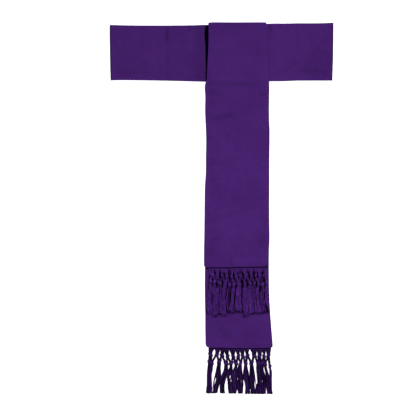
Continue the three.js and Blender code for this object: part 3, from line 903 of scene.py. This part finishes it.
frontFringe = {
    "deep": "#0B0217",
    "light": "#6B33A2",
    "heading": -132.0,
    "base": 1.15,
    "reach": -231.0,
    "reachJitter": 2.4,
    "curl": 2.6,
    "wave": 0.9,
    "seed": 29,
    "sides": (-36, 98),
    "shadeLine": (-132.0, -130.4),
    "openness": 1.2,
    "deepShare": 0.12,
    "lockDepth": 0.35,
    "rootShade": 0.55,
    "knotTone": (0.55, 0.85),
    "bundles": rowsOf("left right x y wide",
        (-28.8, -16.6, -19.6, -145.3, 6.4), (-14.6, -5.6, -8.9, -146.4, 6.4),
        (-4.2, 4.4, 1.6, -147.5, 6.4), (5.2, 14.0, 11.0, -148.5, 6.4),
        (15.0, 25.0, 21.2, -149.5, 6.4), (26.0, 33.6, 31.0, -149.5, 6.4),
        (34.6, 43.4, 41.0, -147.3, 6.4), (44.6, 56.2, 53.2, -147.3, 6.4),
        (57.4, 68.6, 65.4, -147.3, 6.4), (69.4, 77.8, 74.6, -146.2, 6.4),
        (78.6, 88.6, 83.2, -146.2, 6.4), (89.8, 97.6, 93.2, -145.8, 6.4)),
    "rows": [-177.0, -200.0, -218.0, -231.0],
    "tassels": rowsOf("legs x y wide left right reach",
        (1, -24.4, -159.4, 4.2,
         (-28.6, -32.6, -32.8, -32.4), (-20.9, -20.7, -20.0, -20.0), -231.3),
        (2, -14.8, -160.0, 6.2,
         (-20.7, -20.4, -20.0, -19.0), (-10.2, -13.0, -13.4, -8.0), -236.0),
        (2, -4.6, -162.8, 6.2, (-10.0, -12.8, -13.0, -8.0), (-0.6, 0.2, 0.4, 1.0), -232.0),
        (2, 7.4, -165.9, 6.2, (-0.2, 0.8, 0.8, 1.4), (11.0, 8.0, 9.2, 13.2), -234.4),
        (2, 17.6, -167.2, 6.2, (11.4, 8.6, 10.2, 14.0), (20.6, 17.6, 17.4, 19.0), -227.2),
        (2, 26.6, -167.2, 6.2, (21.0, 18.4, 18.0, 20.0), (30.8, 28.2, 27.8, 29.6), -229.0),
        (2, 38.0, -166.2, 6.2, (31.2, 29.0, 28.6, 30.4), (42.6, 43.4, 44.4, 46.4), -226.7),
        (2, 50.4, -164.6, 6.2, (43.4, 44.4, 45.2, 48.0), (54.2, 54.2, 54.8, 57.6), -236.0),
        (2, 62.2, -163.6, 6.2, (54.8, 54.8, 55.6, 58.0), (65.0, 64.0, 65.0, 67.0), -231.3),
        (2, 71.3, -163.6, 6.2, (65.6, 64.6, 65.4, 67.6), (73.6, 75.0, 76.2, 77.4), -229.6),
        (2, 80.2, -165.8, 6.2, (74.2, 75.8, 77.0, 78.2), (81.0, 80.8, 84.4, 86.6), -230.1),
        (2, 88.6, -166.0, 6.2, (81.4, 81.4, 85.0, 87.2), (92.2, 93.2, 95.4, 97.6), -228.9),
        (1, 97.4, -161.5, 4.2, (92.8, 94.4, 97.0, 99.6), (97.0, 99.0, 101.6, 102.6), -228.1)),
    "openings": rowsOf("top foot wide at",
        ((-27.4, -136.4), (-24.2, -151.7), 2.4, 0.5),
        ((-15.7, -134.2), (-13.1, -148.2), 3.9, 0.5), ((-5.0, -136.5), (-2.8, -155.8), 4.6, 0.6),
        ((4.4, -138.3), (7.7, -157.5), 4.2, 0.6), ((13.8, -138.2), (18.6, -157.1), 4.8, 0.6),
        ((25.5, -138.8), (27.5, -158.2), 5.0, 0.6), ((34.0, -138.8), (37.3, -154.9), 3.8, 0.5),
        ((43.6, -136.9), (48.9, -155.8), 4.8, 0.6), ((56.7, -136.1), (61.9, -154.9), 5.0, 0.5),
        ((68.9, -135.3), (71.1, -155.6), 4.8, 0.6), ((78.1, -137.7), (78.5, -154.1), 4.4, 0.5),
        ((89.4, -136.9), (86.8, -152.8), 4.0, 0.5), ((-27.0, -158.2), (-25.5, -164.5), 3.1, 0.5),
        ((-20.3, -151.9), (-19.2, -165.8), 3.3, 0.5), ((-11.5, -156.0), (-9.8, -176.7), 3.7, 0.5),
        ((0.2, -155.7), (3.5, -173.2), 4.1, 0.5), ((12.2, -161.7), (13.8, -176.7), 3.9, 0.5),
        ((23.3, -161.2), (20.7, -175.4), 3.9, 0.5), ((32.3, -161.7), (30.3, -175.4), 3.6, 0.5),
        ((41.2, -156.2), (49.3, -170.2), 4.6, 0.5), ((52.1, -155.8), (58.9, -169.3), 5.4, 0.5),
        ((65.4, -156.2), (68.3, -168.0), 4.8, 0.5), ((74.1, -156.2), (77.2, -171.5), 5.0, 0.5),
        ((83.3, -160.5), (85.0, -180.0), 4.0, 0.4), ((90.9, -153.2), (96.2, -170.6), 4.8, 0.5),
        ((-20.9, -170.2), (-20.3, -209.4), 1.0, 0.4), ((-0.4, -174.6), (0.9, -209.4), 1.6, 0.4),
        ((11.1, -177.6), (7.9, -202.9), 2.6, 0.5), ((8.1, -200.7), (13.1, -237.8), 2.6, 0.6),
        ((20.5, -175.4), (17.5, -213.8), 2.6, 0.5), ((30.8, -172.4), (27.7, -220.3), 2.2, 0.5),
        ((43.0, -174.6), (45.6, -229.1), 1.2, 0.5), ((54.5, -172.4), (54.5, -211.6), 0.9, 0.5),
        ((65.4, -172.4), (64.1, -205.1), 1.0, 0.5), ((73.7, -174.6), (77.0, -220.3), 1.2, 0.5),
        ((81.1, -176.7), (80.7, -202.9), 1.5, 0.5), ((92.7, -172.4), (94.2, -202.9), 2.6, 0.6),
        ((94.0, -200.7), (101.6, -231.2), 3.1, 0.6)),
}


def strandBlank(steps):
    # a straight strand, modelled once: a tube cut across its length
    deselectAll()
    bpy.ops.mesh.primitive_cylinder_add(
        vertices=yarn["sides"], radius=1, depth=1, end_fill_type='TRIFAN', location=(0, 0, 0))
    blank = bpy.context.active_object
    mesh = blank.data
    bpy.ops.object.mode_set(mode='EDIT')
    bpy.ops.mesh.select_mode(type='EDGE')
    bpy.ops.mesh.select_all(action='DESELECT')
    bpy.ops.object.mode_set(mode='OBJECT')
    for edge in mesh.edges:
        a, b = (mesh.vertices[i].co for i in edge.vertices)
        edge.select = abs(a.z - b.z) > 0.5
    bpy.ops.object.mode_set(mode='EDIT')
    bpy.ops.mesh.subdivide(number_cuts=steps - 1)
    bpy.ops.object.mode_set(mode='OBJECT')
    bpy.ops.object.shade_smooth()
    blank.name = "strandBlank"
    return blank


def knotBlank():
    # one turn of yarn, slung round a bundle that is one unit wide and one unit thick
    deselectAll()
    bpy.ops.mesh.primitive_torus_add(
        major_radius=0.5, minor_radius=0.1, major_segments=20, minor_segments=6,
        location=(0, 0, 0), rotation=(math.radians(90), 0, 0))
    turn = bpy.context.active_object
    bpy.ops.object.transform_apply(location=True, rotation=True, scale=True)
    bpy.ops.object.shade_smooth()
    turn.name = "turnBlank"
    # its length in the UV map is a whole number of twists, so that the plies meet
    around, across = getUv(turn.data).T
    setUv(turn.data, np.stack([across, around * yarn["turnTwists"] * yarn["twist"] * mm], axis=1))
    return turn


def strandRoute(plan, bundle, tassel, share, lane, levels, draw):
    # the wanted sideways place of one strand at every level from the heading to its tip
    across = 2 * share - 1
    headX = bundle["left"] + (bundle["right"] - bundle["left"]) * share
    knotX = bundle["x"] + across * (bundle["wide"] / 2 - yarn["radius"])
    tieX = tassel["x"] + lane * (tassel["wide"] / 2 - yarn["radius"])
    headY, reach = plan["heading"], yarn["knotReach"]
    stops = [(headY + 5, headX), (headY - yarn["headRow"], headX),
             (bundle["y"] + reach, knotX), (bundle["y"] - reach * 0.6, knotX),
             (tassel["y"] + reach * 0.8, tieX), (tassel["y"] - reach, tieX)]
    for y, left, right in zip(plan["rows"], tassel["left"], tassel["right"]):
        inner = left + yarn["radius"] * 0.6
        stops.append((y, inner + (right - left - yarn["radius"] * 1.2) * (lane + 1) / 2))
    stops = np.array(stops)[::-1]
    x = np.interp(levels, stops[:, 0], stops[:, 1])
    wave, pace = draw.uniform(0, 2 * math.pi), draw.uniform(8, 18)
    tail = ease(-levels, -tassel["y"] + 8, -tassel["y"] + 40)
    x += plan["wave"] * tail * np.sin(levels / pace + wave)
    end = ease(-levels, -plan["reach"] - 16, -plan["reach"] + 4)
    return x + plan["curl"] * draw.uniform(-1, 1) * end ** 2


def openingEdges(opening, levels):
    # the middle and the half width of a spindle at every level, zero outside it
    (topX, topY), (footX, footY) = opening["top"], opening["foot"]
    share = np.clip((topY - levels) / (topY - footY), 0, 1)
    rising = np.clip(share / opening["at"], 0, 1)
    falling = np.clip((1 - share) / (1 - opening["at"]), 0, 1)
    profile = np.sin(math.pi / 2 * np.minimum(rising, falling)) ** yarn["spindle"]
    profile = profile * (1 + yarn["ragged"] * np.sin(1.15 * levels + topX))
    inside = (levels < topY) & (levels > footY)
    return topX + (footX - topX) * share, opening["wide"] / 2 * profile * inside, inside


def settleStrands(plan):
    # the strands are drawn together, pushed out of the openings and piled without crossing
    draw = random.Random(plan["seed"])
    perLeg, radius = yarn["strandsPerLeg"], yarn["radius"]
    lowest = min(row.get("reach", plan["reach"]) for row in plan["tassels"])
    levels = np.arange(plan["heading"] + 3, lowest - plan["reachJitter"] - 2, -yarn["step"])
    wanted, ends = [], []
    leg = 0
    for tassel in plan["tassels"]:
        total = tassel["legs"] * perLeg
        for n in range(total):
            bundle = plan["bundles"][(leg + n // perLeg) // 2]
            second = (leg + n // perLeg) % 2
            share = (second * perLeg + n % perLeg + 0.5) / (2 * perLeg)
            lane = (2 * n / (total - 1) - 1) * 0.98
            wanted.append(strandRoute(plan, bundle, tassel, share, lane, levels, draw))
            ends.append(tassel.get("reach", plan["reach"])
                        + draw.uniform(-1, 1) * plan["reachJitter"])
        leg += tassel["legs"]
    wanted, ends = np.array(wanted), np.array(ends)
    count = len(wanted)
    rng = np.random.default_rng(plan["seed"])
    floor = plan["base"] + radius
    x = wanted.copy()
    z = floor + radius * 1.5 * np.tile(rng.random((count, 1)), (1, len(levels)))
    sides = []
    for opening in plan["openings"]:
        middle, half, inside = openingEdges(opening, levels)
        if inside.any():
            centre = int(np.argmax(half))
            sides.append((middle, plan["openness"] * half, inside,
                          wanted[:, centre] >= middle[centre]))
    gap = 2 * radius * yarn["close"]
    for _ in range(yarn["rounds"]):
        x += yarn["pull"] * (wanted - x)
        z -= yarn["sink"]
        for offset in range(1, 3 * perLeg):
            dx = x[offset:] - x[:-offset]
            dz = z[offset:] - z[:-offset]
            apart = np.sqrt(dx * dx + dz * dz) + 1e-6
            push = np.clip(gap - apart, 0, None) * yarn["push"] / apart
            x[offset:] += dx * push
            x[:-offset] -= dx * push
            z[offset:] += dz * push
            z[:-offset] -= dz * push
        for middle, half, inside, onRight in sides:
            clear = half + radius * 0.8
            pushed = np.where(onRight[:, None], np.maximum(x, middle + clear),
                              np.minimum(x, middle - clear))
            x = np.where(inside & (np.abs(x - middle) < clear + 6), pushed, x)
        x[:, 1:-1] = 0.5 * x[:, 1:-1] + 0.25 * (x[:, :-2] + x[:, 2:])
        z[:, 1:-1] = 0.5 * z[:, 1:-1] + 0.25 * (z[:, :-2] + z[:, 2:])
        z = np.maximum(z, floor)
    # at the heading the strands lie side by side, lower than the hem
    z = floor + (z - floor) * yarn["packed"] * ease(plan["heading"] - levels, -1, 9)
    return levels, x, z, ends


def coveredShare(x, z):
    # how deep each strand lies under its neighbours, 0 on top and 1 well covered
    top = z.copy()
    for offset in range(1, 3 * yarn["strandsPerLeg"]):
        near = np.exp(-((x[offset:] - x[:-offset]) / (1.6 * yarn["radius"])) ** 2)
        top[:-offset] = np.maximum(top[:-offset], z[offset:] * near)
        top[offset:] = np.maximum(top[offset:], z[:-offset] * near)
    return np.clip((top - z) / (2.2 * yarn["radius"]), 0, 1)


# painted light and shade in the fringes: streaks of lit and shaded locks, small darker flecks, a
# darker net, and the painted shadow under the hem
locks = {
    # mm across and along one streak, where its noise is read, and its seed after the fringe's own
    "long": {"wide": 2.3, "tall": 13, "at": (50, 90), "seed": 5},
    "short": {"wide": 2.5, "tall": 4.2, "at": (50, 200), "seed": 6},
    "fleck": {"wide": 1.6, "tall": 2.8, "at": (80, 300), "seed": 7},
    "wander": 1.3,
    "fleckDepth": 0.35,
    "netDepth": 0.1,
    "hemDepth": 0.88,
    "hemReach": (-1.5, 0.3),      # mm from the line of the hem's shade
}


def streaks(plan, kind, x, y):
    size = locks[kind]
    u, v = size["at"]
    return softNoise(x / size["wide"] + u, y / size["tall"] + v, plan["seed"] + size["seed"])


def lockShade(plan, x, y):
    # painted light and shade: locks of yarn that lie higher are painted lighter and deeper ones
    # darker, in soft streaks, short in the net and long in the tassels
    wander = x + locks["wander"] * np.sin(y / 8 + x / 5)
    inNet = ease(y, plan["rows"][0] - 4, plan["rows"][0] + 8)
    mixed = (streaks(plan, "long", wander, y) * (1 - 0.75 * inNet)
             + streaks(plan, "short", x, y) * (0.25 + 0.5 * inNet))
    lock = 1 - plan["lockDepth"] * (1 - ease(mixed, 0.3, 0.6))
    fleck = 1 - locks["fleckDepth"] * (1 - ease(streaks(plan, "fleck", x, y), 0.35, 0.6))
    return lock * fleck * (1 - locks["netDepth"] * inNet)


def underHem(plan, x, y):
    # the yarn is in deep shade right under the hem and free of it a little lower
    line = np.interp(x, plan["sides"], plan["shadeLine"])
    free, full = locks["hemReach"]
    return 1 - locks["hemDepth"] * ease(y, line + free, line + full)


def layStrand(blank, path, radius, tone, covered):
    # a copy of the blank bent along a path, with its own mesh and its length in the UV map
    mesh = blank.data.copy()
    points = getPoints(mesh)
    at = (points[:, 2] + 0.5) * (len(path) - 1)
    place = np.arange(len(path))
    tangent = np.gradient(path, axis=0)
    tangent /= np.linalg.norm(tangent, axis=1)[:, None]
    centre = np.stack([np.interp(at, place, path[:, k]) for k in range(3)], axis=1)
    ways = np.stack([np.interp(at, place, tangent[:, k]) for k in range(3)], axis=1)
    side = np.cross(ways, [0, 0, 1])
    side /= np.linalg.norm(side, axis=1)[:, None]
    up = np.cross(side, ways)
    thick = radius * (1 - yarn["tipThinner"] * (at > len(path) - 1.01))
    spots = centre + thick[:, None] * (points[:, :1] * side + points[:, 1:2] * up)
    setPoints(mesh, spots * mm)
    length = np.concatenate([[0], np.cumsum(np.linalg.norm(np.diff(path, axis=0), axis=1))])
    uv = getUv(mesh)
    share = np.clip((uv[:, 1] - 0.5) * 2, 0, 1) * (len(path) - 1)
    uv[:, 1] = np.interp(share, place, length) * mm
    setUv(mesh, uv)
    # painted shade: each strand is painted darker along its underside and where its neighbours
    # cover it
    facing = 0.5 + 0.5 * points[:, 1]
    low = yarn["lowShade"]
    shade = np.interp(at, place, tone) * (low + (1 - low) * facing)
    shade = shade * (1 - yarn["coveredDepth"] * np.interp(at, place, covered))
    paint(mesh, "shade", shade)
    return addCopy(mesh, "strand")


def tieKnot(blank, spot, width, height, flip, tone, floor):
    # an overhand knot: neighbouring slanted turns round the strands it holds, flat where it lies
    turns = []
    for row in yarn["knotTurns"]:
        mesh = blank.data.copy()
        points = getPoints(mesh)
        ring = points[:, [0, 2]]
        away = np.linalg.norm(ring, axis=1)[:, None]
        core = ring / away * 0.5
        thick = yarn["turnThick"] * yarn["radius"]
        loose = (ring - core) * 10 * thick
        points[:, [0, 2]] = core * np.array([width, height]) * row["swell"] + loose
        points[:, 1] = points[:, 1] * 10 * thick + row["along"]
        points[:, 1] += flip * points[:, 0] * math.tan(math.radians(row["slope"]))
        lowest = points[:, 2].min()
        room = floor - spot[2]
        if lowest < room:
            points[:, 2] = np.where(points[:, 2] < 0, points[:, 2] * room / lowest, points[:, 2])
        setPoints(mesh, (points + np.array(spot)) * mm)
        # painted shade: each turn of a knot is painted darker along its underside
        facing = np.clip(0.5 + loose[:, 1] / thick / 2, 0, 1)
        low = yarn["turnLowShade"]
        paint(mesh, "shade", tone * (low + (1 - low) * facing))
        turns.append(addCopy(mesh, "turn"))
    return turns


def buildFringe(name, plan, node, material):
    draw = random.Random(plan["seed"] + 1)
    levels, x, z, ends = settleStrands(plan)
    covered = coveredShare(x, z)
    strand, turn = strandBlank(len(levels) - 1), knotBlank()
    strands = []
    for n, end in enumerate(ends):
        y = np.linspace(levels[0], end, len(levels))
        ups = [np.interp(-y, -levels, row[n]) for row in (x, z, covered)]
        path = np.stack([ups[0], y, ups[1]], axis=1)
        # painted light and shade: a share of the strands is painted dark as if deep in the pile,
        # the rest vary a little, and locks lie in lit and shaded streaks
        body = 0.15 if draw.random() < plan["deepShare"] else draw.uniform(0.75, 1.0)
        root = ease(y, plan["heading"] - 7, plan["heading"] - 1)
        tone = body * lockShade(plan, path[:, 0], y)
        # the roots are painted towards an even shade with less covered shade, then all lie in the
        # painted shadow under the hem
        tone = (tone + 0.6 * (plan["rootShade"] - tone) * root) * underHem(plan, path[:, 0], y)
        # painted shadow at each tip: the last few mm of each strand are painted darker
        tone *= 1 - 0.8 * ease(-y, -end - 3.5, -end - 0.5)
        strands.append(layStrand(strand, path, yarn["radius"] * draw.uniform(0.92, 1.08),
                                 tone, ups[2] * (1 - 0.7 * root)))
    cords = joinAll(strands, name + "Strands")
    cords.data.materials.append(material)
    perLeg = yarn["strandsPerLeg"]
    legs = [sum(row["legs"] for row in plan["tassels"][:n]) for n in range(len(plan["tassels"]))]
    held = [(row, slice(2 * perLeg * n, 2 * perLeg * (n + 1)))
            for n, row in enumerate(plan["bundles"])]
    held += [(row, slice(perLeg * first, perLeg * (first + row["legs"])))
             for first, row in zip(legs, plan["tassels"])]
    knots = []
    for n, (row, members) in enumerate(held):
        level = int(np.argmin(np.abs(levels - row["y"])))
        left, right = x[members, level].min(), x[members, level].max()
        low, high = z[members, level].min(), z[members, level].max()
        spot = ((left + right) / 2, row["y"], (low + high) / 2 + 0.2)
        knots += tieKnot(turn, spot, right - left + yarn["knotSwell"] * yarn["radius"],
                         high - low + 2.3 * yarn["radius"], 1 if n % 2 else -1,
                         draw.uniform(*plan["knotTone"]), plan["base"])
    ties = joinAll(knots, name + "Knots")
    ties.data.materials.append(material)
    for blank in (strand, turn):
        bpy.data.objects.remove(blank)
    for piece in (cords, ties):
        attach(piece, "root")
    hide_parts(node)
    print(name, "made,", len(strands), "strands and", len(held), "knots, highest",
          round(float(z.max()), 1), "mm")
    return cords, ties


braid = {
    "pitch": 2.4,
    "length": 4.4,
    "thick": 1.5,
    "slope": 38,
    "lift": 0.1,
    "ends": 2,
    "start": (1.6, 1.7),     # of its first ply, from the tape's left lower corner
    "nextRow": (1.1, 2.6),   # from the first row of plies to the second
    "tapeRound": 0.25,
}


def buildHeading(name, plan, node, material):
    # a plaited braid: two rows of slanted plies on a narrow woven tape
    low, high = (np.array(corner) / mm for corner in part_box(node))
    middle, top = (low + high) / 2, high[2] + braid["lift"]
    deselectAll()
    bpy.ops.mesh.primitive_cube_add(size=1, location=tuple(middle * mm),
                                    scale=tuple((high - low) * mm))
    tape = bpy.context.active_object
    bpy.ops.object.transform_apply(location=True, rotation=True, scale=True)
    tape.modifiers.new("round", 'BEVEL').width = braid["tapeRound"] * mm
    applyAll(tape)
    deselectAll()
    bpy.ops.mesh.primitive_uv_sphere_add(segments=8, ring_count=5, radius=0.5)
    ply = bpy.context.active_object
    bpy.ops.object.shade_smooth()
    shape = getPoints(ply.data) * np.array([braid["thick"], braid["length"], 1.0])
    pieces = [tape]
    count = int((high[0] - low[0] - braid["ends"]) / braid["pitch"])
    (startX, startY), (nextX, nextY) = braid["start"], braid["nextRow"]
    for row, slope in ((0, 1), (1, -1)):
        angle = math.radians(braid["slope"]) * slope
        c, s = math.cos(angle), math.sin(angle)
        for k in range(count):
            mesh = ply.data.copy()
            x = shape[:, 0] * c - shape[:, 1] * s
            y = shape[:, 0] * s + shape[:, 1] * c
            centre = (low[0] + startX + k * braid["pitch"] + row * nextX,
                      low[1] + startY + row * nextY, top)
            setPoints(mesh, (np.stack([x, y, shape[:, 2]], axis=1) + centre) * mm)
            pieces.append(addCopy(mesh, "ply"))
    bpy.data.objects.remove(ply)
    heading = joinAll(pieces, name)
    x, y, z = getPoints(heading.data).T / mm
    # painted shade: the tape under the plies is painted darker than the plies on top, and all of
    # it lies in the painted shadow under the hem
    paint(heading.data, "shade", underHem(plan, x, y) * (0.4 + 0.5 * (z > top)))
    heading.data.materials.append(material)
    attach(heading, "root")
    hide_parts(node)
    print(name, "made")
    return heading


def buildTape(name, node, material, leftEdge):
    # a strip of closing tape, its edges rounded and its left side a little uneven
    low, high = (np.array(corner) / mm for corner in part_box(node))
    deselectAll()
    across, along = tapes["cells"]
    bpy.ops.mesh.primitive_grid_add(x_subdivisions=across, y_subdivisions=along, size=1)
    strip = bpy.context.active_object
    strip.name = name
    flat = getPoints(strip.data)
    y = low[1] + (high[1] - low[1]) * (flat[:, 1] + 0.5)
    left = read(leftEdge, "y", "x", y)
    x = left + (high[0] - left) * (flat[:, 0] + 0.5)
    z = np.full_like(x, (low[2] + high[2]) / 2)
    setPoints(strip.data, np.stack([x, y, z], axis=1) * mm)
    thicken(strip, (high[2] - low[2]) * tapes["thickShare"], tapes["edgeRound"])
    strip.data.materials.append(material)
    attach(strip, "root")
    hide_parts(node)
    print(name, "made")


buildStudio()
clothMaterial = failleCloth()
darkFloss = floss("deepPurpleRayonFloss", rearFringe)
faceFloss = floss("purpleRayonFloss", frontFringe)
tapeMaterial = closingTape()

buildWaistband(clothMaterial)
fallCloth, fallLength = buildFalls(clothMaterial)

rearCords, rearTies = buildFringe("rearFringe", rearFringe, "fringe_rear", darkFloss)
frontCords, frontTies = buildFringe("frontFringe", frontFringe, "fringe_front", faceFloss)
rearBraid = buildHeading("rearHeading", rearFringe, "heading_rear", darkFloss)
frontBraid = buildHeading("frontHeading", frontFringe, "heading_front", faceFloss)

buildTape("loopTape", "fastening_loop_tape", tapeMaterial, tapes["loopEdge"])
buildTape("hookTape", "fastening_hook_tape", tapeMaterial, tapes["hookEdge"])
